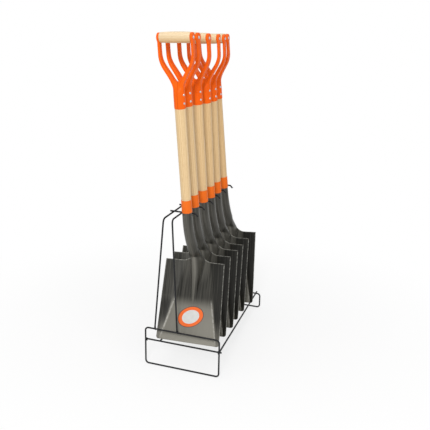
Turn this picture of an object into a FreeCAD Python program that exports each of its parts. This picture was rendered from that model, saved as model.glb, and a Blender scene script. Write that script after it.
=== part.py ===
import FreeCAD, Part

import math
import os

# Freestanding wire rack that holds six D-handled square shovels one behind another.
# Millimetres, +Z up, +X to the right, +Y to the rear. The origin is on the floor, at the
# middle of the rack's footprint.

Vector = FreeCAD.Vector
X_AXIS = Vector(1, 0, 0)
Y_AXIS = Vector(0, 1, 0)
Z_AXIS = Vector(0, 0, 1)

# Clearances
running_gap = 0.3          # between a shovel and the wire that it rests on or leans on
slip_gap = 0.1             # between a pin and its hole
socket_gap = 0.3           # between the socket and the ferrule round it or the shaft in it

# Rack wires, all measured on the wire's centre line
wire_diameter = 6.0
wire_bend_radius = 12.0
rack_depth = 600.0
front_loop_width = 284.0
front_loop_top = 147.0
cross_wire_height = 97.5
cross_wire_overhang = 4.0
rear_loop_width = 256.0
rear_loop_top = 66.0
right_rail_front_x = 143.5
right_rail_rear_x = 112.0
rail_overhang = 6.0
left_rail_x = -88.0
top_rail_height = 569.5
top_rail_drop = 9.0
top_rail_bend_radius = 14.0
outer_upright_foot_x = -107.7
inner_upright_foot_x = -20.8
outer_top_rail_x = -72.2
inner_top_rail_x = -40.0
finger_start_overhang = 4.0
finger_reach = 4.0         # straight part beyond the shaft's side
finger_tip_length = 14.0
finger_tip_angle = 45.0
weld_bead_radius = 2.2
weld_bead_length = 9.0

# Where the six shovels stand, front to rear
shovel_pitch = 85.5
first_tip_y = 17.2
tip_centre_x = (12.5, 11.0, 11.5, 4.5, 4.5, 16.0)
lean_left = (2.4, 2.9, 2.6, 2.0, 2.4, 3.8)
handle_turn = (0.0, -6.6, -6.6, 0.0, 0.0, 0.0)
lean_forward = 4.7

# Shovel blade: a dished steel sheet with a hollow ridge below its socket
sheet_thickness = 1.8
blade_length = 295.0
blade_tip_width = 243.0
blade_shoulder_width = 225.0
blade_corner_radius = 9.0
blade_angle = 25.6         # between the sheet and the shaft
blade_top_back = 42.86     # the sheet's upper end behind the shaft's axis
blade_top_drop = 208.76    # and below the ferrule's lower edge
dish_depth = 26.0
wing_start_at_tip = 0.90   # half-widths out from the middle where the wings begin
wing_start_at_shoulder = 0.34
ridge_length = 145.0       # from the blade's upper end down to the ridge's point
ridge_slope_height = 30.0
ridge_heel_height = 21.0   # added where the ridge sweeps up into the socket
ridge_half_width = 24.0
ridge_point_half_width = 6.0
flare_length = 30.0
step_flare_height = 14.0
step_flare_reach = 32.0
zone_steps = 6

# Socket: the sheet's tongue, rolled into a tube that is open at the back lower down
socket_radius = 17.3
socket_heel_radius = 20.5
socket_length = 208.0
socket_crank = 54.0
socket_closed_half_turn = 176.0
socket_heel_half_turn = 125.0
socket_open_from = 55.0
socket_top = 43.0
socket_levels = (-168.0, -145.0, -120.0, -90.0, -60.0, -35.0, -15.0, 0.0, 20.0, socket_top)

# Handle
ferrule_length = 46.0
ferrule_thickness = 0.7
shaft_radius_at_yoke = 18.4
shaft_depth_in_socket = 75.0
shaft_end_radius = 10.0
yoke_start = 365.0
yoke_wall = 1.2
shaft_depth_in_yoke = 55.0
yoke_crotch_height = 87.0
crotch_radius = 11.0
casing_length = 50.0
neck_sizes = (             # height; half width and half depth in casing radii; squareness
    (44.0, 0.98, 0.98, 2.0),
    (55.0, 0.98, 0.965, 2.05),
    (66.0, 0.985, 0.847, 2.3),
    (77.0, 1.056, 0.684, 3.1),
    (87.0, 1.214, 0.587, 4.3),
    (94.0, 1.367, 0.556, 5.5),
    (98.0, 1.459, 0.546, 6.0),
)
arm_depth = 22.0
arm_edge_radius = 2.5
arm_sizes = (              # height, distance from the middle, thickness
    (60.0, 9.8, 12.5),
    (72.0, 11.5, 13.0),
    (86.0, 16.0, 13.0),
    (97.0, 21.3, 13.0),
    (108.0, 27.8, 12.5),
    (122.0, 36.8, 12.0),
    (137.0, 46.3, 11.0),
    (152.0, 53.0, 9.5),
    (167.0, 56.4, 8.5),
    (182.0, 57.0, 8.0),
    (196.0, 57.0, 8.0),
    (212.0, 57.0, 8.0),
    (228.0, 57.0, 8.0),
)
grip_height = 593.0
grip_radius = 17.8
grip_end_radius = 16.3
ear_radius = 15.5
ear_edge_radius = 1.2
grip_pin_radius = 3.0
pin_head_radius = 5.0
pin_head_height = 2.5
yoke_rivet_radius = 2.5
yoke_rivet_head_radius = 4.0
yoke_rivet_head_height = 1.6
yoke_rivet_heights = (18.0, 46.0)
yoke_rivet_azimuth = 70.0  # degrees from straight ahead towards the right

# Sizes that follow from the ones above
wire_radius = wire_diameter / 2
front_y = -rack_depth / 2
rear_y = rack_depth / 2
floor_wire_z = wire_radius
rail_slope = (rear_loop_top - cross_wire_height) / (rack_depth - wire_diameter)
sheet_up = Vector(0, math.sin(math.radians(blade_angle)), math.cos(math.radians(blade_angle)))
sheet_back = Vector(0, math.cos(math.radians(blade_angle)), -math.sin(math.radians(blade_angle)))
tip_point = Vector(0, blade_top_back, -blade_top_drop) - sheet_up * blade_length
ridge_start = blade_length - ridge_length
flare_start = blade_length - flare_length
ferrule_bore_radius = socket_radius + socket_gap
ferrule_radius = ferrule_bore_radius + ferrule_thickness
yoke_radius = shaft_radius_at_yoke + yoke_wall
arm_half_span, ear_thickness = arm_sizes[-1][1:]
grip_pin_half_span = arm_half_span + ear_thickness / 2
shovel_count = len(tip_centre_x)


def unit(vector):
    return vector * (1.0 / vector.Length)


def rounded_path(points, radius):
    """A wire through the points, with an arc of the given radius at each inner one."""
    edges = []
    start = points[0]
    for corner, after in zip(points[1:-1], points[2:]):
        come = unit(corner - start)
        leave = unit(after - corner)
        turn = come.getAngle(leave)
        setback = radius * math.tan(turn / 2)
        arc_start = corner - come * setback
        arc_end = corner + leave * setback
        arc_middle = corner + unit(leave - come) * (radius / math.cos(turn / 2) - radius)
        edges.append(Part.makeLine(start, arc_start))
        edges.append(Part.Arc(arc_start, arc_middle, arc_end).toShape())
        start = arc_end
    edges.append(Part.makeLine(start, points[-1]))
    return Part.Wire(edges)


def wire_rod(points, bend_radius=wire_bend_radius):
    """A round steel wire bent through the points."""
    circle = Part.makeCircle(wire_radius, points[0], points[1] - points[0])
    return rounded_path(points, bend_radius).makePipeShell([Part.Wire(circle)], True, True)


def upright_loop(width, top, y):
    """A rectangle of wire that stands on the floor, butt-welded at its middles."""
    halves = []
    for side in (-1, 1):
        corners = [
            Vector(0, y, floor_wire_z),
            Vector(side * width / 2, y, floor_wire_z),
            Vector(side * width / 2, y, top),
            Vector(0, y, top),
        ]
        halves.append(wire_rod(corners))
    return halves[0].fuse(halves[1]).removeSplitter()


def base_rail_z(y):
    """Centre height of the left base rail, which runs level with the cross wire."""
    return cross_wire_height + rail_slope * (y - front_y - wire_diameter)


def base_rail_left():
    start_y = front_y + wire_diameter + wire_radius
    end_y = rear_y - wire_radius
    start = Vector(left_rail_x, start_y, base_rail_z(start_y))
    return wire_rod([start, Vector(left_rail_x, end_y, base_rail_z(end_y))])


def base_rail_right():
    """Lies on top of the cross wire's end and of the rear loop."""
    run = (right_rail_rear_x - right_rail_front_x) / (rack_depth - wire_diameter)

    def at(y):
        x = right_rail_front_x + run * (y - front_y - wire_diameter)
        return Vector(x, y, base_rail_z(y) + wire_diameter)

    return wire_rod([at(front_y + wire_radius + slip_gap), at(rear_y + rail_overhang)])


def front_cross_wire():
    y = front_y + wire_diameter
    start = Vector(-front_loop_width / 2 - wire_radius, y, cross_wire_height)
    end_x = front_loop_width / 2 + wire_radius + cross_wire_overhang
    return wire_rod([start, Vector(end_x, y, cross_wire_height)])


def top_rail_z(y):
    return top_rail_height - top_rail_drop * (y - front_y) / rack_depth


def upright_rail(foot_x, rail_x):
    """One wire: up from the front loop, back along the top, down to the rear loop."""
    near_y = front_y + wire_diameter
    far_y = rear_y - wire_diameter
    points = [
        Vector(foot_x, near_y, front_loop_top - wire_radius),
        Vector(rail_x, near_y, top_rail_z(near_y)),
        Vector(rail_x, far_y, top_rail_z(far_y)),
        Vector(rail_x, far_y, rear_loop_top - wire_radius),
    ]
    return wire_rod(points, top_rail_bend_radius)


def shovel_placement(index):
    """Stands shovel number index on the left base rail, with its leans."""
    left = lean_left[index]
    turn = FreeCAD.Rotation(Y_AXIS, -left).multiply(FreeCAD.Rotation(X_AXIS, lean_forward))
    x = tip_centre_x[index]
    y = front_y + first_tip_y + index * shovel_pitch
    sheet_tilt = math.radians(blade_angle - lean_forward)
    under_sheet = sheet_thickness * math.sin(sheet_tilt)
    z = base_rail_z(y) + wire_radius + running_gap + under_sheet
    z += (x - left_rail_x) * math.sin(math.radians(left))
    return FreeCAD.Placement(Vector(x, y, z) - turn.multVec(tip_point), turn)


def shaft_axis_at(index, z):
    """The point where the shaft's axis passes the given height."""
    placement = shovel_placement(index)
    direction = placement.Rotation.multVec(Z_AXIS)
    base = placement.Base
    return base + direction * ((z - base.z) / direction.z)


def neck_rear(height):
    """How far the socket, ferrule or shaft reaches behind the shaft's axis."""
    if height < 0:
        growth = (socket_heel_radius - socket_radius) * -height / socket_length
        return socket_centre(height).y + socket_radius + growth
    if height < ferrule_length:
        return ferrule_radius
    rise = min((height - ferrule_length) / (yoke_start - ferrule_length), 1.0)
    return socket_radius + (shaft_radius_at_yoke - socket_radius) * rise


def neck_finger(index):
    """Crosses both top rails just behind a shaft; its right tip is bent down."""
    z = top_rail_z(shaft_axis_at(index, top_rail_height).y) + wire_diameter
    axis = shaft_axis_at(index, z)
    height = shovel_placement(index).inverse().multVec(axis).z
    behind = max(neck_rear(height + step) for step in (-wire_radius, 0, wire_radius))
    y = axis.y + behind / math.cos(math.radians(lean_forward)) + wire_radius + running_gap
    start_x = outer_top_rail_x - wire_radius - finger_start_overhang
    bend_x = axis.x + ferrule_radius + finger_reach
    droop = math.radians(finger_tip_angle)
    tip = Vector(
        bend_x + finger_tip_length * math.cos(droop),
        y,
        z - finger_tip_length * math.sin(droop),
    )
    return wire_rod([Vector(start_x, y, z), Vector(bend_x, y, z), tip], wire_diameter)


def weld_bead(centre, direction):
    """A small run of weld metal along a wire, rounded at both ends."""
    start = centre - unit(direction) * (weld_bead_length / 2)
    bead = Part.makeCylinder(weld_bead_radius, weld_bead_length, start, direction)
    for end in (start, start + unit(direction) * weld_bead_length):
        bead = bead.fuse(Part.makeSphere(weld_bead_radius, end))
    return bead


def half_width_at(s):
    """Half of the blade's width at the distance s up the sheet from its tip."""
    half = (blade_tip_width + (blade_shoulder_width - blade_tip_width) * s / blade_length) / 2
    if s < blade_corner_radius:
        short = blade_corner_radius - s
        half -= blade_corner_radius - math.sqrt(blade_corner_radius ** 2 - short ** 2)
    return half


def ridge_climb(s):
    return max(0.0, (s - ridge_start) / ridge_length)


def ridge_foot(s):
    """Half of the ridge's width at its foot."""
    growth = ridge_half_width - ridge_point_half_width
    return ridge_point_half_width + growth * ridge_climb(s) ** 0.7


def wing_start(s):
    """Half of the width of the middle panel, at whose edge the wings begin."""
    share = wing_start_at_tip + (wing_start_at_shoulder - wing_start_at_tip) * s / blade_length
    return share * half_width_at(s)


def sheet_point(x, s):
    """A point of the sheet's front face; near the socket the top edge is drawn upwards."""
    share = s / blade_length
    depth = dish_depth * (1 - (1 - share) ** 2)
    crease = wing_start(s)
    if abs(x) > crease:
        out = min((abs(x) - crease) / (half_width_at(s) - crease), 1.0)
        depth *= 1 - out ** (1.2 + 0.4 * share)
    foot = ridge_foot(s)
    if abs(x) < foot:
        climb = ridge_climb(s)
        height = ridge_slope_height * climb + ridge_heel_height * climb ** 7
        depth -= height * (1 - (x / foot) ** 2) ** 0.7
    rise = max(0.0, (s - flare_start) / flare_length)
    out = min(max((abs(x) - ridge_half_width) / step_flare_reach, 0.0), 1.0)
    up = s + step_flare_height * rise ** 2 * (1 - out) ** 2
    return tip_point + X_AXIS * x + sheet_up * up + sheet_back * depth


def sheet_offset(x, s):
    """From the front face to the back face, through the sheet's thickness."""
    probe = 0.05
    down = min(s, blade_length - probe)
    along = sheet_point(x, down + probe) - sheet_point(x, down)
    normals = []
    for side in (-probe, probe):
        if abs(x + side) <= half_width_at(s):
            across = (sheet_point(x + side, s) - sheet_point(x, s)) * math.copysign(1, side)
            normals.append(unit(along.cross(across)))
    first = normals[0]
    last = normals[-1]
    return (first + last) * (sheet_thickness / (1 + first.dot(last)))


def zone_columns(s, zone):
    """Distances from the middle across one of five zones: wing, panel, ridge, panel, wing."""
    marks = (half_width_at(s), wing_start(s), ridge_foot(s))
    if zone == 2:
        count = 2 * zone_steps
        return [marks[2] * math.sin(math.pi * (i / count - 0.5)) for i in range(count + 1)]
    side = -1 if zone < 2 else 1
    outer = marks[0] if zone in (0, 4) else marks[1]
    inner = marks[1] if zone in (0, 4) else marks[2]
    columns = [outer + (inner - outer) * i / zone_steps for i in range(zone_steps + 1)]
    return [side * x for x in (columns if zone < 2 else reversed(columns))]


def zone_grids(zone):
    """Matching rows of points on the sheet's front and back faces within a zone."""
    front = []
    back = []
    for s in sheet_rows():
        columns = zone_columns(s, zone)
        front.append([sheet_point(x, s) for x in columns])
        back.append([sheet_point(x, s) + sheet_offset(x, s) for x in columns])
    return front, back


def sheet_rows():
    """Distances from the tip: round the corner, up to the ridge's point, along the ridge."""
    corner = [blade_corner_radius * (1 - math.cos(math.pi * i / 8)) for i in range(5)]
    lower = [ridge_start * share for share in (0.13, 0.3, 0.53, 0.77, 0.93)]
    shares = (0.0, 0.07, 0.17, 0.31, 0.45, 0.59, 0.70, 0.80, 0.87, 0.924, 0.965, 1.0)
    return corner + lower + [ridge_start + ridge_length * share for share in shares]


def running_share(points):
    """How far along a chain of points each one lies, from 0 to 1."""
    travelled = [0.0]
    for before, after in zip(points, points[1:]):
        travelled.append(travelled[-1] + (after - before).Length)
    return [distance / travelled[-1] for distance in travelled]


def smooth_curve(points, shares):
    curve = Part.BSplineCurve()
    curve.interpolate(Points=list(points), Parameters=shares)
    return curve


def smooth_surface(grid, shares):
    """A surface through rows of points; shares place the rows along it."""
    across = [i / (len(grid[0]) - 1) for i in range(len(grid[0]))]
    rows = [smooth_curve(points, across) for points in grid]
    columns = [smooth_curve(points, shares) for points in zip(*[row.getPoles() for row in rows])]
    surface = Part.BSplineSurface()
    surface.buildFromPolesMultsKnots(
        [list(poles) for poles in zip(*[column.getPoles() for column in columns])],
        columns[0].getMultiplicities(),
        rows[0].getMultiplicities(),
        columns[0].getKnots(),
        rows[0].getKnots(),
        False,
        False,
        columns[0].Degree,
        rows[0].Degree,
    )
    return surface


def sheet_faces(front, back, shares, free_edges):
    """Front and back faces, and the narrow faces along the edges that stay free."""
    surfaces = [smooth_surface(grid, shares) for grid in (front, back)]
    faces = [surface.toShape() for surface in surfaces]
    for edge in free_edges:
        lines = []
        for surface in surfaces:
            if edge == "first row":
                line = surface.uIso(0.0)
            elif edge == "last row":
                line = surface.uIso(1.0)
            elif edge == "first column":
                line = surface.vIso(0.0)
            else:
                line = surface.vIso(1.0)
            lines.append(line.toShape())
        faces.append(Part.makeRuledSurface(*lines))
    return faces


def socket_centre(z):
    """The socket's centre line: straight below the ferrule, then cranked to the rear."""
    share = max(-z / socket_length, 0.0)
    return Vector(0, socket_crank * (3 * share ** 3 - 2 * share ** 4), z)


def socket_row(z):
    """Points across the outside and the inside of the rolled tongue."""
    share = max(-z / socket_length, 0.0)
    radius = socket_radius + (socket_heel_radius - socket_radius) * share
    opened = max((-z - socket_open_from) / (socket_length - socket_open_from), 0.0)
    opened = opened ** 2 * (3 - 2 * opened)
    half_turn = socket_closed_half_turn
    half_turn += (socket_heel_half_turn - socket_closed_half_turn) * opened
    centre = socket_centre(z)
    along = unit(socket_centre(z + 1.0) - socket_centre(z - 1.0))
    forward = along.cross(X_AXIS) * -1
    outside = []
    inside = []
    for step in range(-zone_steps, zone_steps + 1):
        angle = math.radians(half_turn * step / zone_steps)
        out = X_AXIS * math.sin(angle) + forward * math.cos(angle)
        outside.append(centre + out * radius)
        inside.append(centre + out * (radius - sheet_thickness))
    return outside, inside


def blade():
    """One piece of steel: the sheet, and its tongue rolled into the socket."""
    faces = []
    outer_front = zone_grids(0)[0]
    shares = running_share([row[0] for row in outer_front])
    for zone in range(5):
        free = ["first row"]
        if zone != 2:
            free.append("last row")
        if zone == 0:
            free.append("first column")
        if zone == 4:
            free.append("last column")
        front, back = zone_grids(zone)
        if zone == 2:
            tongue = [(front[-1], back[-1])]
        faces += sheet_faces(front, back, shares, free)
    tongue += [socket_row(z) for z in socket_levels]
    outside = [rows[0] for rows in tongue]
    inside = [rows[1] for rows in tongue]
    shares = running_share([row[zone_steps] for row in outside])
    faces += sheet_faces(outside, inside, shares, ("last row", "first column", "last column"))
    skin = Part.makeCompound(faces)
    skin.sewShape()
    solid = Part.Solid(skin)
    if solid.Volume < 0:
        solid.reverse()
    return solid


def ferrule():
    outer = Part.makeCylinder(ferrule_radius, ferrule_length)
    return outer.cut(Part.makeCylinder(ferrule_bore_radius, ferrule_length))


def shaft():
    """A turned wooden shaft, stepped down where it enters the socket."""
    top = yoke_start + shaft_depth_in_yoke
    inside = socket_radius - sheet_thickness - socket_gap
    outline = [
        Vector(0, 0, -shaft_depth_in_socket),
        Vector(shaft_end_radius, 0, -shaft_depth_in_socket),
        Vector(inside, 0, 0),
        Vector(inside, 0, socket_top),
        Vector(socket_radius, 0, socket_top),
        Vector(socket_radius, 0, ferrule_length),
        Vector(shaft_radius_at_yoke, 0, yoke_start),
        Vector(shaft_radius_at_yoke, 0, top),
        Vector(0, 0, top),
    ]
    face = Part.Face(Part.makePolygon(outline + outline[:1]))
    wood = face.revolve(Vector(0, 0, 0), Z_AXIS, 360)
    return wood.cut(yoke_rivet_holes())


def across_cylinder(radius, half_length, height):
    return Part.makeCylinder(radius, 2 * half_length, Vector(-half_length, 0, height), X_AXIS)


def turned_to_rivets(shape):
    """The casing's rivets lie across the shaft, turned a little to the front."""
    shape.rotate(Vector(0, 0, 0), Z_AXIS, yoke_rivet_azimuth - 90)
    return shape


def yoke_rivet_holes():
    holes = [
        across_cylinder(yoke_rivet_radius + slip_gap, yoke_radius + 1, yoke_start + height)
        for height in yoke_rivet_heights
    ]
    return turned_to_rivets(Part.makeCompound(holes))


def arm(side):
    """A pressed bar: out of the neck, apart in an S-bend, straight up to its ear."""
    front = -arm_depth / 2
    middles = [Vector(side * x, front, yoke_start + height) for height, x, thickness in arm_sizes]
    flanks = ([], [])
    for place, sizes in enumerate(arm_sizes):
        before = middles[max(place - 1, 0)]
        after = middles[min(place + 1, len(middles) - 1)]
        if place == 0:
            before = after - Z_AXIS
        half = Y_AXIS.cross(unit(after - before)) * (sizes[2] / 2)
        flanks[0].append(middles[place] - half)
        flanks[1].append(middles[place] + half)
    shares = running_share(middles)
    curves = [smooth_curve(points, shares).toShape() for points in flanks]
    foot = Part.makeLine(flanks[0][0], flanks[1][0])
    head = Part.makeLine(flanks[0][-1], flanks[1][-1])
    face = Part.Face(Part.Wire([curves[0], head, curves[1], foot]))
    bar = face.extrude(Y_AXIS * arm_depth)
    length = curves[0].Length
    long_edges = [edge for edge in bar.Edges if edge.Length > length / 2]
    bar = bar.makeFillet(arm_edge_radius, long_edges)
    ear_start = Vector(side * arm_half_span - ear_thickness / 2, 0, grip_height)
    ear = Part.makeCylinder(ear_radius, ear_thickness, ear_start, X_AXIS)
    return bar.fuse(ear.makeFillet(ear_edge_radius, [ear.Edges[0], ear.Edges[2]]))


def neck_section(height, wide, deep, power):
    """A level outline between a circle (power 2) and a rounded rectangle."""
    points = []
    for step in range(24):
        angle = 2 * math.pi * step / 24
        cosine = math.cos(angle)
        sine = math.sin(angle)
        x = yoke_radius * wide * math.copysign(abs(cosine) ** (2 / power), cosine)
        y = yoke_radius * deep * math.copysign(abs(sine) ** (2 / power), sine)
        points.append(Vector(x, y, yoke_start + height))
    curve = Part.BSplineCurve()
    curve.interpolate(Points=points, PeriodicFlag=True)
    return Part.Wire([curve.toShape()])


def yoke():
    """A pressed steel casing round the shaft's end that forks into two arms."""
    neck = Part.makeLoft([neck_section(*sizes) for sizes in neck_sizes], True, False)
    saddle_z = yoke_start + yoke_crotch_height + crotch_radius
    saddle = Part.makeCylinder(crotch_radius, 2 * arm_depth, Vector(0, -arm_depth, saddle_z), Y_AXIS)
    bore = Part.makeCylinder(shaft_radius_at_yoke, shaft_depth_in_yoke, Vector(0, 0, yoke_start))
    casing = Part.makeCylinder(yoke_radius, casing_length, Vector(0, 0, yoke_start))
    casing = casing.fuse(neck.cut(saddle)).cut([bore, yoke_rivet_holes()])
    body = casing.fuse([arm(-1), arm(1)])
    return body.cut(across_cylinder(grip_pin_radius + slip_gap, grip_pin_half_span, grip_height))


def grip():
    """A turned wooden bar between the arms, a little fuller in its middle."""
    half = arm_half_span - ear_thickness / 2 - running_gap
    left = Vector(-half, 0, grip_end_radius)
    right = Vector(half, 0, grip_end_radius)
    top = Part.Arc(left, Vector(0, 0, grip_radius), right).toShape()
    sides = Part.makePolygon([right, Vector(half, 0, 0), Vector(-half, 0, 0), left])
    face = Part.Face(Part.Wire([top] + sides.Edges))
    bar = face.revolve(Vector(0, 0, 0), X_AXIS, 360)
    bar.translate(Vector(0, 0, grip_height))
    return bar.cut(across_cylinder(grip_pin_radius + slip_gap, half + 1, grip_height))


def headed_pin(radius, head_radius, head_height, half_span, height):
    """A pin along X with a low domed head at each end."""
    pin = across_cylinder(radius, half_span, height)
    ball = (head_radius ** 2 + head_height ** 2) / (2 * head_height)
    for side in (-1, 1):
        face = Vector(side * half_span, 0, height)
        centre = face - X_AXIS * side * (ball - head_height)
        beyond = Part.makeBox(head_height, 2 * ball, 2 * ball)
        low_x = min(face.x, face.x + side * head_height)
        beyond.translate(Vector(low_x, -ball, height - ball))
        pin = pin.fuse(Part.makeSphere(ball, centre).common(beyond))
    return pin


def grip_pin():
    return headed_pin(
        grip_pin_radius, pin_head_radius, pin_head_height, grip_pin_half_span, grip_height
    )


def yoke_rivets():
    rivets = []
    for height in yoke_rivet_heights:
        rivets.append(
            headed_pin(
                yoke_rivet_radius,
                yoke_rivet_head_radius,
                yoke_rivet_head_height,
                yoke_radius,
                yoke_start + height,
            )
        )
    return turned_to_rivets(Part.makeCompound(rivets))


def weld_beads(rack):
    """A bead in the groove beside each crossing of two wires."""
    side = wire_radius + weld_bead_radius * 0.4
    beads = []
    cross_y = front_y + wire_radius
    for x in (-front_loop_width / 2, front_loop_width / 2):
        beads.append(weld_bead(Vector(x - math.copysign(side, x), cross_y, cross_wire_height), Z_AXIS))
    for foot_x in (outer_upright_foot_x, inner_upright_foot_x):
        beads.append(weld_bead(Vector(foot_x + side, cross_y, front_loop_top), Z_AXIS))
    for rail_x in (outer_top_rail_x, inner_top_rail_x):
        beads.append(weld_bead(Vector(rail_x + side, rear_y - wire_radius, rear_loop_top), Z_AXIS))
    metal = Part.makeCompound(beads)
    return Part.makeCompound([bead.cut(rack) for bead in metal.Solids])


def build():
    nodes = {
        "front_loop": upright_loop(front_loop_width, front_loop_top, front_y),
        "front_cross_wire": front_cross_wire(),
        "rear_loop": upright_loop(rear_loop_width, rear_loop_top, rear_y),
        "base_rail_right": base_rail_right(),
        "base_rail_left": base_rail_left(),
        "upright_rail_left": upright_rail(outer_upright_foot_x, outer_top_rail_x),
        "upright_rail_right": upright_rail(inner_upright_foot_x, inner_top_rail_x),
    }
    for index in range(shovel_count):
        nodes[f"neck_finger_{index + 1}"] = neck_finger(index)
    rack = [nodes[name] for name in nodes]
    nodes["weld_beads"] = weld_beads(rack)
    pieces = {
        "blade": blade(),
        "ferrule": ferrule(),
        "shaft": shaft(),
        "yoke": yoke(),
        "grip": grip(),
        "grip_pin": grip_pin(),
        "yoke_rivets": yoke_rivets(),
    }
    fixed_to_blade = ("blade", "ferrule")
    for index in range(shovel_count):
        placement = shovel_placement(index)
        turn = FreeCAD.Rotation(Z_AXIS, handle_turn[index])
        handle_placement = placement.multiply(FreeCAD.Placement(Vector(0, 0, 0), turn))
        for name, shape in pieces.items():
            stand = placement if name in fixed_to_blade else handle_placement
            copy = shape.copy()
            copy.Placement = stand.multiply(shape.Placement)
            nodes[f"shovel_{index + 1}_{name}"] = copy
    return nodes


os.makedirs("parts", exist_ok=True)
for node, shape in build().items():
    shape.exportStep(f"parts/{node}.step")
    print(node, len(shape.Solids), shape.isValid(), round(shape.Volume))
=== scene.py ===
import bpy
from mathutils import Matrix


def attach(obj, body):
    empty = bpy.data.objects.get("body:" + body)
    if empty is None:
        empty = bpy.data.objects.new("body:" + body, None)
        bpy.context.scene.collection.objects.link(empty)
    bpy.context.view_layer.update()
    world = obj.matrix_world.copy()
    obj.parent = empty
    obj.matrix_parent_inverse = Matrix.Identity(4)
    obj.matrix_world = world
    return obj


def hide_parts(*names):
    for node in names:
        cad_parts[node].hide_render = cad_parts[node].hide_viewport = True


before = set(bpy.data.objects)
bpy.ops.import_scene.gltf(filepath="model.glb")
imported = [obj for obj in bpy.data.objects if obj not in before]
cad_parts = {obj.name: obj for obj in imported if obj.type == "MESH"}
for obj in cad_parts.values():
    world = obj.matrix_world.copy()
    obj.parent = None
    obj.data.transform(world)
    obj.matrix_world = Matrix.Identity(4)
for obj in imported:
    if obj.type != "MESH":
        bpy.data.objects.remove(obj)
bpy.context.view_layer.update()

import math

import bpy
import numpy as np
from mathutils import Matrix, Vector

scene = bpy.context.scene

# The camera stands to the front right of the rack, a little above the hand grips, and
# looks slightly down along the row of shovels. Place and lens are fitted to points
# measured in the photograph, which is 430 pixels square.

FRAME_PX = 430
CENTRE_PX = (212.58, 200.75)
LENS_DISTANCE_PX = 651.90
CAMERA_PLACE = (0.77706, -2.24887, 1.27410)
YAW = math.radians(18.98)
PITCH = math.radians(16.69)
ROLL = math.radians(1.11)

ahead = Vector((
    -math.sin(YAW) * math.cos(PITCH), math.cos(YAW) * math.cos(PITCH), -math.sin(PITCH)
))
level_right = Vector((math.cos(YAW), math.sin(YAW), 0))
level_up = level_right.cross(ahead)
right = level_right * math.cos(ROLL) + level_up * math.sin(ROLL)
up = level_up * math.cos(ROLL) - level_right * math.sin(ROLL)
camera_data = bpy.data.cameras.new("photographer")
camera_data.sensor_width = 36
camera_data.lens = LENS_DISTANCE_PX * camera_data.sensor_width / FRAME_PX
camera_data.shift_x = (FRAME_PX / 2 - CENTRE_PX[0]) / FRAME_PX
camera_data.shift_y = (CENTRE_PX[1] - FRAME_PX / 2) / FRAME_PX
camera = bpy.data.objects.new("photographer", camera_data)
scene.collection.objects.link(camera)
turn = Matrix((right, up, -ahead)).transposed()
camera.matrix_world = Matrix.Translation(CAMERA_PLACE) @ turn.to_4x4()
scene.camera = camera

# The rack is bent from 6 mm round steel wire: two rectangular loops that stand on the
# floor, a cross wire, two base rails for the blade tips and two uprights that run on as
# top rails. The crossings are welded and the whole is dipped in black powder coat.

WIRE_R = 0.003
BEND_R = 0.012
UPRIGHT_BEND_R = 0.014
FRONT = -0.300
REAR = 0.300
FRONT_LOOP_HALF, FRONT_LOOP_TOP = 0.142, 0.147
REAR_LOOP_HALF, REAR_LOOP_TOP = 0.128, 0.066
CROSS_LEFT, CROSS_RIGHT = -0.145, 0.149
CROSS_Y = FRONT + 2 * WIRE_R
CROSS_Z = 0.0975
RAIL_RUN = 0.594
LEFT_RAIL_X = -0.088
RIGHT_RAIL_X = 0.1435
RIGHT_RAIL_INWARD = 0.0315
RIGHT_RAIL_START = FRONT + 0.0031
LEFT_FOOT_X, RIGHT_FOOT_X = -0.1077, -0.0208
LEFT_TOP_RAIL_X, RIGHT_TOP_RAIL_X = -0.0722, -0.0400
TOP_RAIL_Z = 0.5695
TOP_RAIL_DROP = 0.009


def feed(node, sockets):
    """Sets a node's sockets, each to a value, a socket or another node's first output."""
    for key, value in sockets.items():
        if isinstance(value, bpy.types.Node):
            value = next(output for output in value.outputs if output.enabled)
        if isinstance(value, bpy.types.NodeSocket):
            node.id_data.links.new(value, node.inputs[key])
        else:
            node.inputs[key].default_value = value
    return node


def step(tree, kind, *inputs, **settings):
    """Adds a node to a tree, with its sockets fed in order or by name."""
    node = tree.nodes.new(kind)
    sockets = dict(enumerate(inputs))
    for name, value in settings.items():
        if hasattr(node, name):
            setattr(node, name, value)
        else:
            sockets[name.replace("_", " ")] = value
    return feed(node, sockets)


def recipe(name, kind, takes, gives):
    """A new node group with named sockets, what it is given and where its results go."""
    tree = bpy.data.node_groups.new(name, kind)
    for in_out, sockets in (("INPUT", takes), ("OUTPUT", gives)):
        for socket, sort in sockets.items():
            tree.interface.new_socket(socket, in_out=in_out, socket_type="NodeSocket" + sort)
    return tree, tree.nodes.new("NodeGroupInput").outputs, tree.nodes.new("NodeGroupOutput")


def mottle_group():
    """Cloudy variation of a colour, with a matching spread of gloss and orange peel."""
    tree, given, result = recipe(
        "mottled paint", "ShaderNodeTree",
        {"Place": "Vector", "Paint": "Color", "Thin Paint": "Color", "Cloud Size": "Float",
         "Cloud Strength": "Float", "Roughness Low": "Float", "Roughness High": "Float",
         "Peel Size": "Float"},
        {"Colour": "Color", "Roughness": "Float", "Height": "Float"},
    )
    clouds = step(tree, "ShaderNodeTexNoise", Vector=given["Place"], Scale=given["Cloud Size"],
                  Detail=5.0, Roughness=0.6)
    spread = step(tree, "ShaderNodeMapRange", clouds, From_Min=0.35, From_Max=0.65)
    share = step(tree, "ShaderNodeMath", spread, given["Cloud Strength"], operation="MULTIPLY")
    blend = step(tree, "ShaderNodeMix", data_type="RGBA", Factor=share, A=given["Paint"],
                 B=given["Thin Paint"])
    rough = step(tree, "ShaderNodeMapRange", clouds, To_Min=given["Roughness Low"],
                 To_Max=given["Roughness High"])
    peel = step(tree, "ShaderNodeTexNoise", Vector=given["Place"], Scale=given["Peel Size"],
                Detail=2.0)
    feed(result, {"Colour": blend, "Roughness": rough, "Height": peel})
    return tree


MOTTLE = mottle_group()


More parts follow.
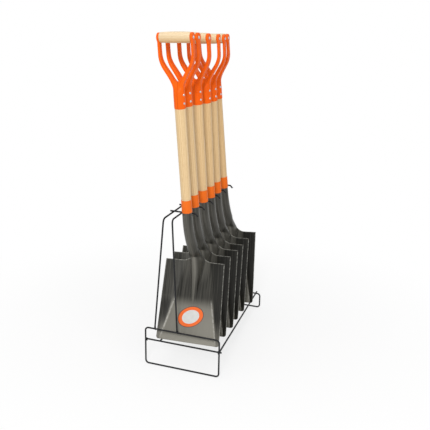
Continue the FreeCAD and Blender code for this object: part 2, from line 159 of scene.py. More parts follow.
def blank_material(name, colour):
    material = bpy.data.materials.new(name)
    material.use_nodes = True
    material.diffuse_color = (*colour, 1)
    shader = material.node_tree.nodes["Principled BSDF"]
    shader.inputs["Base Color"].default_value = (*colour, 1)
    return material, material.node_tree, shader


def mark(tree, name, output="Fac"):
    """Reads what the mesh notes at each point under a name."""
    return step(tree, "ShaderNodeAttribute", attribute_name=name).outputs[output]


def painted(name, paint, thin_paint, clouds, strength, rough, peel, bump, local=True,
            metallic=0.0, specular=0.5):
    """A sprayed or dipped paint: clouded colour, uneven gloss and orange peel. A local
    pattern lies in the piece's own axes, the others lie in the rack's."""
    material, tree, shader = blank_material(name, paint)
    if local:
        place = mark(tree, "place", "Vector")
    else:
        place = tree.nodes.new("ShaderNodeTexCoord").outputs["Object"]
    group = step(tree, "ShaderNodeGroup", node_tree=MOTTLE, Place=place, Paint=(*paint, 1),
                 Thin_Paint=(*thin_paint, 1), Cloud_Size=clouds, Cloud_Strength=strength,
                 Roughness_Low=rough[0], Roughness_High=rough[1], Peel_Size=peel)
    relief = step(tree, "ShaderNodeBump", Strength=bump, Distance=0.0004,
                  Height=group.outputs["Height"])
    feed(shader, {
        "Base Color": group.outputs["Colour"], "Roughness": group.outputs["Roughness"],
        "Normal": relief, "Metallic": metallic, "Specular IOR Level": specular,
    })
    return material, tree, shader, group


wire_coat = painted(
    "black powder coat", (0.006, 0.0063, 0.007), (0.020, 0.021, 0.023), clouds=60.0,
    strength=0.6, rough=(0.42, 0.6), peel=1400.0, bump=0.25, local=False, specular=0.25,
)[0]


def coated(tree, shape, coating, result):
    """Ends a geometry tree with real faces that wear their coating."""
    real = step(tree, "GeometryNodeRealizeInstances", shape)
    feed(result, {"Geometry": step(tree, "GeometryNodeSetMaterial", real, Material=coating)})


def bent_wire_tree():
    """Sweeps a round wire along a chain of straight runs, with a bend at each corner."""
    tree, given, result = recipe(
        "bent wire", "GeometryNodeTree",
        {"Geometry": "Geometry", "Wire Radius": "Float", "Bend Radius": "Float",
         "Coating": "Material"},
        {"Geometry": "Geometry"},
    )
    runs = step(tree, "GeometryNodeMeshToCurve", given["Geometry"])
    bends = step(tree, "GeometryNodeFilletCurve", runs, mode="POLY", Count=9,
                 Radius=given["Bend Radius"])
    section = step(tree, "GeometryNodeCurvePrimitiveCircle", Resolution=24,
                   Radius=given["Wire Radius"])
    sweep = step(tree, "GeometryNodeCurveToMesh", Curve=bends, Profile_Curve=section,
                 Fill_Caps=True)
    coated(tree, sweep, given["Coating"], result)
    return tree


BENT_WIRE = bent_wire_tree()


def run_tree(name, mesh, tree, **inputs):
    """Applies a geometry tree to a mesh and returns the finished object."""
    seed = bpy.data.objects.new(name + "_seed", mesh)
    scene.collection.objects.link(seed)
    modifier = seed.modifiers.new(tree.name, "NODES")
    modifier.node_group = tree
    for socket in tree.interface.items_tree:
        key = socket.name.replace(" ", "_").lower()
        if socket.in_out == "INPUT" and key in inputs:
            modifier[socket.identifier] = inputs[key]
    seed.update_tag()
    graph = bpy.context.evaluated_depsgraph_get()
    finished = bpy.data.meshes.new_from_object(seed.evaluated_get(graph))
    bpy.data.objects.remove(seed)
    piece = bpy.data.objects.new(name, finished)
    scene.collection.objects.link(piece)
    return piece


def soften(piece, angle):
    """Smooth shading, with edges kept where faces meet more sharply than the angle."""
    piece.data.shade_smooth()
    piece.data.set_sharp_from_angle(angle=math.radians(angle))


def belongs(piece, body, slot, *nodes):
    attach(piece, body)
    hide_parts(*nodes)


def rack_wire(name, corners, bend=BEND_R, closed=False):
    mesh = bpy.data.meshes.new(name)
    edges = [(i, i + 1) for i in range(len(corners) - 1)]
    if closed:
        edges.append((len(corners) - 1, 0))
    mesh.from_pydata(corners, edges, [])
    piece = run_tree(name + "_wire", mesh, BENT_WIRE, wire_radius=WIRE_R, bend_radius=bend,
                     coating=wire_coat)
    soften(piece, 50)
    belongs(piece, "rack", "rack_wire", name)


def top_rail_z(y):
    return TOP_RAIL_Z - TOP_RAIL_DROP * (y - FRONT) / (REAR - FRONT)


def base_rail_z(y):
    return CROSS_Z + (REAR_LOOP_TOP - CROSS_Z) * (y - CROSS_Y) / RAIL_RUN


def right_rail_x(y):
    return RIGHT_RAIL_X - RIGHT_RAIL_INWARD * (y - CROSS_Y) / RAIL_RUN


for name, half, top, y in (
    ("front_loop", FRONT_LOOP_HALF, FRONT_LOOP_TOP, FRONT),
    ("rear_loop", REAR_LOOP_HALF, REAR_LOOP_TOP, REAR),
):
    corners = [(-half, y, WIRE_R), (half, y, WIRE_R), (half, y, top), (-half, y, top)]
    rack_wire(name, corners, closed=True)

rack_wire("front_cross_wire", [(x, CROSS_Y, CROSS_Z) for x in (CROSS_LEFT, CROSS_RIGHT)])
rack_wire("base_rail_left", [
    (LEFT_RAIL_X, y, base_rail_z(y)) for y in (CROSS_Y + WIRE_R, REAR - WIRE_R)
])
rack_wire("base_rail_right", [
    (right_rail_x(y), y, base_rail_z(y) + 2 * WIRE_R)
    for y in (RIGHT_RAIL_START, REAR + 2 * WIRE_R)
])
for name, foot, rail in (
    ("upright_rail_left", LEFT_FOOT_X, LEFT_TOP_RAIL_X),
    ("upright_rail_right", RIGHT_FOOT_X, RIGHT_TOP_RAIL_X),
):
    near, far = CROSS_Y, REAR - 2 * WIRE_R
    rack_wire(name, [
        (foot, near, FRONT_LOOP_TOP - WIRE_R),
        (rail, near, top_rail_z(near)),
        (rail, far, top_rail_z(far)),
        (rail, far, REAR_LOOP_TOP - WIRE_R),
    ], bend=UPRIGHT_BEND_R)

for bead_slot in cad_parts["weld_beads"].material_slots:
    bead_slot.material = wire_coat

# Six shovels stand one behind another. Each leans a little to the left and forward, as
# its blade's tip rests on the base rails and its neck on a finger. The handles of the
# second and third have turned a little in their sockets.

LEAN_LEFT = (2.4, 2.9, 2.6, 2.0, 2.4, 3.8)
LEAN_FORWARD = 4.7
HANDLE_TURN = (0.0, -6.6, -6.6, 0.0, 0.0, 0.0)
TIP_X = (0.0125, 0.0110, 0.0115, 0.0045, 0.0045, 0.0160)
FIRST_TIP_Y = 0.0172
PITCH_Y = 0.0855
REST_GAP = 0.0003
SHOVELS = len(LEAN_LEFT)
BLADE_ANGLE = math.radians(25.6)
SHEET = 0.0018
TIP = np.array((0, -0.0846, -0.4748))


def stand(k):
    """Where shovel k stands: a matrix from the shovel's own axes to the rack's."""
    left, forward = math.radians(LEAN_LEFT[k]), math.radians(LEAN_FORWARD)
    lean = Matrix.Rotation(-left, 4, "Y") @ Matrix.Rotation(forward, 4, "X")
    y = FRONT + FIRST_TIP_Y + PITCH_Y * k
    z = base_rail_z(y) + WIRE_R + REST_GAP + SHEET * math.sin(BLADE_ANGLE - forward)
    z += (TIP_X[k] - LEFT_RAIL_X) * math.sin(left)
    place = Vector((TIP_X[k], y, z)) - lean.to_3x3() @ Vector(TIP)
    return Matrix.Translation(place) @ lean


STANDS = [stand(k) for k in range(SHOVELS)]
HANDLES = [
    STANDS[k] @ Matrix.Rotation(math.radians(HANDLE_TURN[k]), 4, "Z") for k in range(SHOVELS)
]

# The neck fingers are short wires welded across both top rails, one behind each neck,
# with their free ends bent down at 45 degrees.

SOCKET_LENGTH = 0.208
SOCKET_R = 0.0173
SOCKET_WIDENING = 0.0032
NECK_SWING = 0.054
FERRULE_R = 0.0183
FERRULE_TOP = 0.046
YOKE_START = 0.365
SHAFT_SWELLING = 0.0011
FINGER_BEND_R = 0.006
FINGER_OVERHANG = 0.004
FINGER_TIP = 0.014


def axis_at(k, z):
    """The point where the axis of shaft k passes the height z."""
    way = STANDS[k].to_3x3() @ Vector((0, 0, 1))
    base = STANDS[k].translation
    return base + way * ((z - base.z) / way.z)


def socket_share(height):
    """0 at the socket's mouth, growing to 1 where the ridge ends."""
    return np.clip(-height / SOCKET_LENGTH, 0, None)


def neck_swing(share):
    """How far the cranked neck has swung to the rear."""
    return NECK_SWING * (3 * share ** 3 - 2 * share ** 4)


def shaft_radius(height):
    share = min((height - FERRULE_TOP) / (YOKE_START - FERRULE_TOP), 1)
    return SOCKET_R + SHAFT_SWELLING * share


def neck_rear(height):
    """How far the shovel reaches behind its axis at a height on the shovel."""
    if height < 0:
        share = socket_share(height)
        return neck_swing(share) + SOCKET_R + SOCKET_WIDENING * share
    return FERRULE_R if height < FERRULE_TOP else shaft_radius(height)


for k in range(SHOVELS):
    z = top_rail_z(axis_at(k, TOP_RAIL_Z).y) + 2 * WIRE_R
    centre = axis_at(k, z)
    height = (STANDS[k].inverted() @ centre).z
    behind = max(neck_rear(height + offset) for offset in (-WIRE_R, 0, WIRE_R))
    y = centre.y + behind / math.cos(math.radians(LEAN_FORWARD)) + WIRE_R + REST_GAP
    bend_x = centre.x + FERRULE_R + FINGER_OVERHANG
    drop = FINGER_TIP * math.sin(math.radians(45))
    rack_wire(f"neck_finger_{k + 1}", [
        (LEFT_TOP_RAIL_X - WIRE_R - FINGER_OVERHANG, y, z), (bend_x, y, z),
        (bend_x + drop, y, z - drop),
    ], bend=FINGER_BEND_R)

# Each blade is pressed from one steel sheet: a flat middle panel, wings that turn forward
# along the sides, and a hollow ridge that sweeps up into the rolled, cranked socket. It
# is dipped in a dark warm-grey lacquer. Its colour carries painted shade in the hollows,
# on the wings and on the socket, and painted highlights on the ridge's crest, the creases
# and the top step; the front blade alone has painted light toward its tip and low on its right.

SHEET_UP = np.array((0, math.sin(BLADE_ANGLE), math.cos(BLADE_ANGLE)))
SHEET_BACK = np.array((0, math.cos(BLADE_ANGLE), -math.sin(BLADE_ANGLE)))
BLADE_LENGTH = 0.295
TIP_HALF = 0.1215
SHOULDER_HALF = 0.1125
CORNER = 0.009
DISH = 0.026
WING_START_TIP, WING_START_DRIFT = 0.90, 0.56
RIDGE_START = 0.150
RIDGE_FOOT_HALF, RIDGE_FOOT_SPREAD = 0.006, 0.018
RIDGE_RISE, RIDGE_END_RISE = 0.030, 0.021
STEP_START = 0.265
STEP_RISE = 0.014
STEP_INNER, STEP_OUTER = 0.024, 0.056
RIDGE_COLUMNS = 12
TONGUE_COLUMNS = 2 * RIDGE_COLUMNS + 1
TONGUE_ROWS = 59
TONGUE_HEIGHTS = (-0.168, -0.145, -0.120, -0.090, -0.060, -0.030, 0.0, 0.043)
SOCKET_WRAP, RIDGE_WRAP = 176, 125
RIM_SOFTNESS = 0.0005
# The least painted shade on the panel, the colour of full painted shade, and the light steel
# colour of the painted highlights and rubbed patches.
PANEL_SHADE = 0.25
PAINTED_SHADE_COLOUR = (0.012, 0.0115, 0.0085, 1)
RUBBED_AND_HIGHLIT_STEEL = (0.42, 0.41, 0.37, 1)


def half_width(s):
    half = TIP_HALF + (SHOULDER_HALF - TIP_HALF) * s / BLADE_LENGTH
    short = np.clip(CORNER - s, 0, None)
    return half - (CORNER - np.sqrt(CORNER ** 2 - short ** 2))


def ridge_climb(s):
    return np.clip((s - RIDGE_START) / (BLADE_LENGTH - RIDGE_START), 0, None)


def ridge_foot(s):
    return RIDGE_FOOT_HALF + RIDGE_FOOT_SPREAD * ridge_climb(s) ** 0.7


def wing_start(s):
    return (WING_START_TIP - WING_START_DRIFT * s / BLADE_LENGTH) * half_width(s)


def wing_share(x, s):
    """0 on the panel and 1 at the wing's rim."""
    return np.clip((abs(x) - wing_start(s)) / (half_width(s) - wing_start(s)), 0, 1)


def sheet_point(x, s):
    """Points of the sheet's front face, x from the middle and s up from the tip."""
    x, s = np.broadcast_arrays(x, s)
    share = s / BLADE_LENGTH
    depth = DISH * (1 - (1 - share) ** 2) * (1 - wing_share(x, s) ** (1.2 + 0.4 * share))
    climb = ridge_climb(s)
    ridge = RIDGE_RISE * climb + RIDGE_END_RISE * climb ** 7
    depth = depth - ridge * np.clip(1 - (x / ridge_foot(s)) ** 2, 0, 1) ** 0.7
    rise = np.clip((s - STEP_START) / (BLADE_LENGTH - STEP_START), 0, None)
    away = np.clip((abs(x) - STEP_INNER) / (STEP_OUTER - STEP_INNER), 0, 1)
    height = s + STEP_RISE * rise ** 2 * (1 - away) ** 2
    return (TIP + x[..., None] * np.array((1, 0, 0)) + height[..., None] * SHEET_UP
            + depth[..., None] * SHEET_BACK)


def sheet_normal(x, s):
    """Unit vectors through the sheet to the rear, scaled for an even thickness."""
    probe = 0.00005
    s = np.clip(s, None, BLADE_LENGTH - probe)
    along = sheet_point(x, s + probe) - sheet_point(x, s)
    units = []
    for side in (-probe, probe):
        nudge = np.where(abs(x + side) <= half_width(s), side, -side)
        across = (sheet_point(x + nudge, s) - sheet_point(x, s)) * np.sign(nudge)[..., None]
        normal = np.cross(along, across)
        units.append(normal / np.linalg.norm(normal, axis=-1, keepdims=True))
    return (units[0] + units[1]) / (1 + (units[0] * units[1]).sum(-1, keepdims=True))


def ease(count):
    """Steps from 0 to 1 that are closer together at both ends."""
    t = np.linspace(0, 1, count + 1)
    return t + 0.35 * np.sin(2 * math.pi * t) / (-2 * math.pi)


def sheet_columns(s):
    """Signed distances from the middle for one row, dense at the creases."""
    foot, crease, half = ridge_foot(s), wing_start(s), half_width(s)
    ridge = foot * np.sin(np.linspace(0, math.pi / 2, RIDGE_COLUMNS + 1))
    panel = foot + (crease - foot) * ease(12)
    wing = crease + (half - crease) * ease(14)
    side = np.concatenate([ridge, panel[1:], wing[1:]])
    return np.concatenate([-side[:0:-1], side])


sheet_rows = np.concatenate([
    CORNER * (1 - np.cos(np.linspace(0, math.pi / 2, 7))),
    np.linspace(0.014, 0.145, 22),
    np.linspace(0.150, 0.262, 32),
    np.linspace(0.265, BLADE_LENGTH, 15),
])
sheet_x = np.array([sheet_columns(s) for s in sheet_rows])
sheet_s = np.repeat(sheet_rows[:, None], sheet_x.shape[1], 1)


def socket_centre(z):
    return np.stack([0 * z, neck_swing(socket_share(z)), z], -1)


def socket_row(z):
    """Outer and inner points across the rolled tongue at the height z."""
    radius = SOCKET_R + SOCKET_WIDENING * socket_share(z)
    opening = eased(-z, 0.055, SOCKET_LENGTH)
    half_turn = math.radians(SOCKET_WRAP - (SOCKET_WRAP - RIDGE_WRAP) * opening)
    z = np.array(float(z))
    along = socket_centre(z + 0.001) - socket_centre(z - 0.001)
    along /= np.linalg.norm(along)
    forward = -np.cross(along, (1, 0, 0))
    angle = half_turn * np.linspace(-1, 1, TONGUE_COLUMNS)[:, None]
    out = np.array((1, 0, 0)) * np.sin(angle) + forward * np.cos(angle)
    return socket_centre(z) + out * radius, socket_centre(z) + out * (radius - SHEET)


def eased(value, low, high):
    """0 below low, 1 above high and a smooth change between."""
    share = np.clip((value - low) / (high - low), 0, 1)
    return share ** 2 * (3 - 2 * share)


def smooth_through(places, values, wanted):
    """A natural cubic spline through values, read at the wanted places."""
    n = len(places)
    h = np.diff(places)
    flat = values.reshape(n, -1)
    system = np.eye(n)
    known = np.zeros_like(flat)
    for i in range(1, n - 1):
        system[i, i - 1:i + 2] = h[i - 1], 2 * (h[i - 1] + h[i]), h[i]
        known[i] = 6 * ((flat[i + 1] - flat[i]) / h[i] - (flat[i] - flat[i - 1]) / h[i - 1])
    curl = np.linalg.solve(system, known)
    spot = np.clip(np.searchsorted(places, wanted, side="right") - 1, 0, n - 2)
    a = (wanted - places[spot])[:, None]
    b = (places[spot + 1] - wanted)[:, None]
    width = h[spot][:, None]
    result = (curl[spot] * b ** 3 + curl[spot + 1] * a ** 3) / (6 * width)
    result += (flat[spot] / width - curl[spot] * width / 6) * b
    result += (flat[spot + 1] / width - curl[spot + 1] * width / 6) * a
    return result.reshape((len(wanted),) + values.shape[1:])


def grid_faces(rows, columns, start, flip=False):
    faces = []
    for i in range(rows - 1):
        for j in range(columns - 1):
            a = start + i * columns + j
            quad = (a, a + 1, a + 1 + columns, a + columns)
            faces.append(quad[::-1] if flip else quad)
    return faces


def blade_mesh():
    """Points and faces of the sheet and its tongue, front and back, closed at the rims."""
    front = sheet_point(sheet_x, sheet_s)
    back = front + sheet_normal(sheet_x, sheet_s) * SHEET
    high, wide = sheet_x.shape
    ridge_left = wide // 2 - RIDGE_COLUMNS
    ridge = slice(ridge_left, ridge_left + TONGUE_COLUMNS)
    stations = [(front[-1, ridge], back[-1, ridge])] + [socket_row(z) for z in TONGUE_HEIGHTS]
    spots = np.array([station[0][RIDGE_COLUMNS] for station in stations])
    travelled = np.concatenate([[0], np.cumsum(np.linalg.norm(np.diff(spots, axis=0), axis=1))])
    fine = np.linspace(0, travelled[-1], TONGUE_ROWS + 1)
    outside, inside = (
        smooth_through(travelled, np.array([station[side] for station in stations]), fine)[1:]
        for side in (0, 1)
    )
    points = np.concatenate([part.reshape(-1, 3) for part in (front, back, outside, inside)])
    rear = high * wide
    outer = 2 * rear
    inner = outer + TONGUE_ROWS * TONGUE_COLUMNS
    faces = grid_faces(high, wide, 0) + grid_faces(high, wide, rear, True)
    faces += grid_faces(TONGUE_ROWS, TONGUE_COLUMNS, outer)
    faces += grid_faces(TONGUE_ROWS, TONGUE_COLUMNS, inner, True)
    # The tongue grows out of the ridge's top row; its mouth is closed between the skins.
    top = (high - 1) * wide
    mouth = (TONGUE_ROWS - 1) * TONGUE_COLUMNS
    for j in range(TONGUE_COLUMNS - 1):
        a, b, c = top + ridge_left + j, outer + mouth + j, inner + mouth + j
        faces.append((a, a + 1, outer + j + 1, outer + j))
        faces.append((rear + a + 1, rear + a, inner + j, inner + j + 1))
        faces.append((b, b + 1, c + 1, c))
    # The rims of the tip, the shoulders, both sides and the tongue's open edges.
    for j in range(wide - 1):
        faces.append((j + 1, j, rear + j, rear + j + 1))
        if not ridge_left <= j < ridge_left + TONGUE_COLUMNS - 1:
            a = top + j
            faces.append((a, a + 1, rear + a + 1, rear + a))
    for a in range(0, top, wide):
        b = a + wide - 1
        faces.append((a, a + wide, rear + a + wide, rear + a))
        faces.append((b + wide, b, rear + b, rear + b + wide))
    for side in (0, TONGUE_COLUMNS - 1):
        edge = top + ridge_left + side
        steps = range(side, TONGUE_ROWS * TONGUE_COLUMNS, TONGUE_COLUMNS)
        chain = [edge] + [outer + i for i in steps]
        hidden = [rear + edge] + [inner + i for i in steps]
        for i in range(TONGUE_ROWS):
            quad = (chain[i], chain[i + 1], hidden[i + 1], hidden[i])
            faces.append(quad if side == 0 else quad[::-1])
    return points, faces


def blade_finish(lit_front):
    """For each point, how much painted shade it has, and how much painted highlight and
    rubbed-through wear. The front blade alone gets painted light on its tip and low on its right."""
    side = abs(sheet_x)
    left = sheet_x < 0
    foot = ridge_foot(sheet_s)
    out = wing_share(sheet_x, sheet_s)
    # Painted shade in the hollows beside the ridge, eased by a painted sheen in the upper middle;
    # a painted highlight along the ridge's crest and painted shade on its flanks.
    beside_ridge = eased(sheet_s, 0.140, 0.160)
    lobe = eased(sheet_s, 0.200, 0.285) * (1 - eased(side, 0.020, 0.085))
    hollow = eased(sheet_s, 0.118, 0.168) * (0.88 - np.where(left, 0.20, 0.30) * lobe)
    crest = beside_ridge * (1 - eased(side, 0.25 * foot, 0.75 * foot))
    hollow = np.clip(hollow - 0.42 * crest * np.where(sheet_x < 0.3 * foot, 1.0, 0.35), 0, 1)
    flank = beside_ridge * (1 - eased(abs(side - 1.15 * foot), 0.0, 0.010))
    hollow = np.maximum(hollow, 0.96 * flank * np.where(sheet_x > 0, 1.0, 0.8))
    # Painted shade on the wings; the left one is lighter higher up.
    wing = eased(out, 0.0, 0.25) * np.where(left, 0.97 - 0.22 * eased(sheet_s, 0.12, 0.19), 1.0)
    wing *= 1 - 0.65 * lit_front * (1 - eased(sheet_s, 0.0, 0.10))
    gloom = np.clip(np.maximum(hollow, wing), 0, 1)
    # Painted light on the front blade only, toward its tip and low on its right.
    tip = 1 - eased(sheet_s, 0.006, 0.036)
    low_right = eased(sheet_x, 0.0, 0.07) * (1 - eased(sheet_s, 0.06, 0.13))
    thin = lit_front * np.maximum(tip, 0.4 * low_right)
    gloom = PANEL_SHADE + (1 - PANEL_SHADE) * gloom - PANEL_SHADE * thin * (1 - gloom)
    # Painted highlights with rubbed wear along the wing creases, the top step and the wing rims.
    crease = 1 - eased(abs(side - wing_start(sheet_s)), 0.0006, 0.0028)
    crease *= eased(sheet_s, 0.0, 0.03) * (1 - eased(sheet_s, 0.130, 0.175))
    top_step = eased(sheet_s, 0.2925, 0.2945) * eased(side, 0.024, 0.032)
    worn = np.maximum(np.maximum(top_step, 0.9 * crease), 0.6 * eased(out, 0.985, 1.0))
    # Painted shade over the socket, a little deeper on one side, with a painted highlight down its
    # middle and a fainter one on the other side.
    around = np.tile(np.linspace(-1, 1, TONGUE_COLUMNS), (TONGUE_ROWS, 1))
    neck = 0.80 + 0.08 * eased(-around, 0.3, 0.7)
    neck -= 0.27 * (1 - eased(abs(around + 0.02), 0.06, 0.26))
    neck -= 0.10 * (1 - eased(abs(around - 0.55), 0.0, 0.12))
    neck = PANEL_SHADE + (1 - PANEL_SHADE) * neck
    return (np.concatenate([gloom.ravel()] * 2 + [neck.ravel()] * 2),
            np.concatenate([worn.ravel()] * 2 + [0 * neck.ravel()] * 2))


def lacquered_steel():
    """Rolled steel under a dark lacquer, with painted shade in the hollows, painted light on the
    flat panel, and painted highlights with rubbed wear along the creases and the top step."""
    lacquer, tree, shader, group = painted(
        "dark lacquer on steel", (0.256, 0.244, 0.208), (0.196, 0.187, 0.159), clouds=9.0,
        strength=0.12, rough=(0.26, 0.40), peel=420.0, bump=0.2, metallic=0.35, specular=0.45,
    )
    place = mark(tree, "place", "Vector")
    gloom = mark(tree, "gloom")
    drawn = step(tree, "ShaderNodeMapping", Vector=place, Scale=(1, 0.04, 0.02))
    streaks = step(tree, "ShaderNodeTexNoise", Vector=drawn, Scale=260.0, Detail=3.0,
                   Roughness=0.6)
    runs = step(tree, "ShaderNodeMapRange", streaks, From_Min=0.34, From_Max=0.66,
                To_Min=-0.11, To_Max=0.11)
    # The painted shade, streaked along the blade, mixes toward the dark shade colour.
    thick = step(tree, "ShaderNodeMath", gloom, runs, gloom, operation="MULTIPLY_ADD",
                 use_clamp=True)
    body = step(tree, "ShaderNodeMix", data_type="RGBA", Factor=thick,
                A=group.outputs["Colour"], B=PAINTED_SHADE_COLOUR)
    # The painted highlights and rubbed wear, broken into patches, mix toward light steel.
    patch_noise = step(tree, "ShaderNodeTexNoise", Vector=place, Scale=95.0, Detail=5.0,
                  Roughness=0.7)
    patchy = step(tree, "ShaderNodeMapRange", patch_noise, From_Min=0.34, From_Max=0.56)
    highlight_patches = step(tree, "ShaderNodeMath", patchy, mark(tree, "worn"), operation="MULTIPLY",
                  use_clamp=True)
    skin = step(tree, "ShaderNodeMix", data_type="RGBA", Factor=highlight_patches, A=body,
                B=RUBBED_AND_HIGHLIT_STEEL)
    feed(shader, {"Base Color": skin})
    return lacquer


def shovel_piece(k, part, points, faces, material, slot, shift=(0, 0, 0), **marks):
    """Puts one part of shovel k in its place; local points are kept for the material."""
    local = np.asarray(points, float)
    matrix = np.array(HANDLES[k] if part in ("shaft", "yoke", "grip") else STANDS[k])
    placed = local @ matrix[:3, :3].T + matrix[:3, 3]
    node = f"shovel_{k + 1}_{part}"
    mesh = bpy.data.meshes.new(node + "_form")
    mesh.from_pydata(placed.tolist(), [], faces)
    place = mesh.attributes.new("place", "FLOAT_VECTOR", "POINT")
    place.data.foreach_set("vector", (local + shift).ravel())
    for name, values in marks.items():
        layer = mesh.attributes.new(name, "FLOAT", "POINT")
        layer.data.foreach_set("value", np.asarray(values, float))
    mesh.materials.append(material)
    mesh.validate()
    piece = bpy.data.objects.new(node + "_form", mesh)
    scene.collection.objects.link(piece)
    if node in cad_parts:
        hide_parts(node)
    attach(piece, f"shovel_{k + 1}")
    return piece


lacquer = lacquered_steel()
blade_points, blade_faces = blade_mesh()
for k in range(SHOVELS):
    # Only the front blade gets painted light at its tip and low on its right.
    gloom, worn = blade_finish(lit_front=float(k == 0))
    blade = shovel_piece(k, "blade", blade_points, blade_faces, lacquer, "blade_steel",
                         gloom=gloom, worn=worn)
    bevel = blade.modifiers.new("soft rims", "BEVEL")
    bevel.width = RIM_SOFTNESS
    bevel.segments = 2
    bevel.limit_method = "ANGLE"
    bevel.angle_limit = math.radians(40)
    soften(blade, 30)

# A plain oval paper label is stuck low on each blade's flat panel: a pale field inside an
# orange border with a thin dark edge.

LABEL_HALF = (0.051, 0.036)
LABEL_TILT = math.radians(22)
LABEL_UP = 0.092
LABEL_PROUD = 0.00028
LABEL_SUNK = -0.0003
BORDER_START = 0.66
EDGE_START = 0.955
INK_SOFTNESS = 0.006
ORANGE_INK = (0.78, 0.130, 0.016, 1)
DARK_INK = (0.03, 0.028, 0.025, 1)


def ring_faces(rings, flip=False):
    """Faces between rings of point numbers; a ring of one repeated point gives triangles."""
    faces = []
    for low, high in zip(rings, rings[1:]):
        for i in range(len(low)):
            j = (i + 1) % len(low)
            if flip:
                quad = (low[i], high[i], high[j], low[j])
            else:
                quad = (low[i], low[j], high[j], high[i])
            faces.append(tuple(dict.fromkeys(quad)))
    return faces


def label_mesh():
    """A closed disc of paper that follows the sheet's front face."""
    turns = 56
    profile = [(share, LABEL_PROUD) for share in (0.0, 0.2, 0.4, 0.6, 0.8, 0.92)]
    profile += [(0.985, 0.00026), (1.0, 0.00015)]
    profile += [(share, LABEL_SUNK) for share in (1.0, 0.6, 0.0)]
    points, reach, rings = [], [], []
    for share, lift in profile:
        count = 1 if share == 0 else turns
        angle = np.linspace(0, 2 * math.pi, count, endpoint=False)
        a = share * LABEL_HALF[0] * np.cos(angle)
        b = share * LABEL_HALF[1] * np.sin(angle)
        x = a * math.cos(LABEL_TILT) - b * math.sin(LABEL_TILT)
        s = LABEL_UP + a * math.sin(LABEL_TILT) + b * math.cos(LABEL_TILT)
        rings.append([len(points) + i % count for i in range(turns)])
        points += list(sheet_point(x, s) - sheet_normal(x, s) * lift)
        reach += [share if lift > 0 else 1.0] * count
    return points, ring_faces(rings, flip=True), reach


def label_paper():
    paper, tree, shader, group = painted(
        "label paper", (0.62, 0.62, 0.60), (0.52, 0.52, 0.50), clouds=60.0, strength=0.5,
        rough=(0.38, 0.5), peel=1500.0, bump=0.1, specular=0.4,
    )
    reach = mark(tree, "reach")
    field = group.outputs["Colour"]
    for start, colour in ((BORDER_START, ORANGE_INK), (EDGE_START, DARK_INK)):
        beyond = step(tree, "ShaderNodeMapRange", reach, From_Min=start - INK_SOFTNESS,
                      From_Max=start + INK_SOFTNESS)
        field = step(tree, "ShaderNodeMix", data_type="RGBA", Factor=beyond, A=field, B=colour)
    feed(shader, {"Base Color": field})
    return paper


paper = label_paper()
label_points, label_faces, reach = label_mesh()
for k in range(SHOVELS):
    soften(shovel_piece(k, "label", label_points, label_faces, paper, None, reach=reach), 50)

# A sheet-metal ferrule, painted orange, is pushed down over the socket's mouth where the
# wooden shaft goes in.

FERRULE_BORE_R = 0.0176


def turned(profile, turns=64):
    """A closed round body from (radius, height) pairs; a radius of 0 closes an end."""
    points, rings = [], []
    for radius, height in profile:
        count = turns if radius else 1
        rings.append([len(points) + i % count for i in range(turns)])
        for i in range(count):
            angle = 2 * math.pi * i / turns
            points.append((radius * math.cos(angle), radius * math.sin(angle), height))
    return points, ring_faces(rings)


def orange_paint(name, thin, thick):
    return painted(name, thin, thick, clouds=25.0, strength=0.6, rough=(0.36, 0.48),
                   peel=500.0, bump=0.12, specular=0.12)


ferrule_paint = orange_paint("orange ferrule paint", (0.80, 0.155, 0.013), (0.73, 0.128, 0.010))[0]
ferrule_points, ferrule_faces = turned([
    (FERRULE_BORE_R, 0.0003), (0.0178, 0.0), (0.0180, 0.0), (FERRULE_R, 0.0004),
    (FERRULE_R, 0.0020), (FERRULE_R, 0.0440), (FERRULE_R, 0.0456), (0.0180, FERRULE_TOP),
    (0.0178, FERRULE_TOP), (FERRULE_BORE_R, 0.0457), (FERRULE_BORE_R, 0.0003),
])
for k in range(SHOVELS):
    soften(shovel_piece(k, "ferrule", ferrule_points, ferrule_faces, ferrule_paint,
                        "orange_paint"), 50)

# The shaft is turned from pale straight-grained wood and varnished. Its lower end is
# stepped down to fit the socket, its upper end fills the yoke's casing.

SOCKET_PLUG_R = 0.0152
SHAFT_FOOT = -0.075
SHAFT_TOP = YOKE_START + 0.055
SHAFT_CLEARANCE = 0.00002
# Each shovel's wood is made darker and warmer by a set amount, the front one's not at all.
SHOVEL_DARKENING = (0.0, 0.08, 0.20, 0.30, 0.20, 0.30)
DARKENING_TINT = (0.84, 0.70, 0.50, 1)


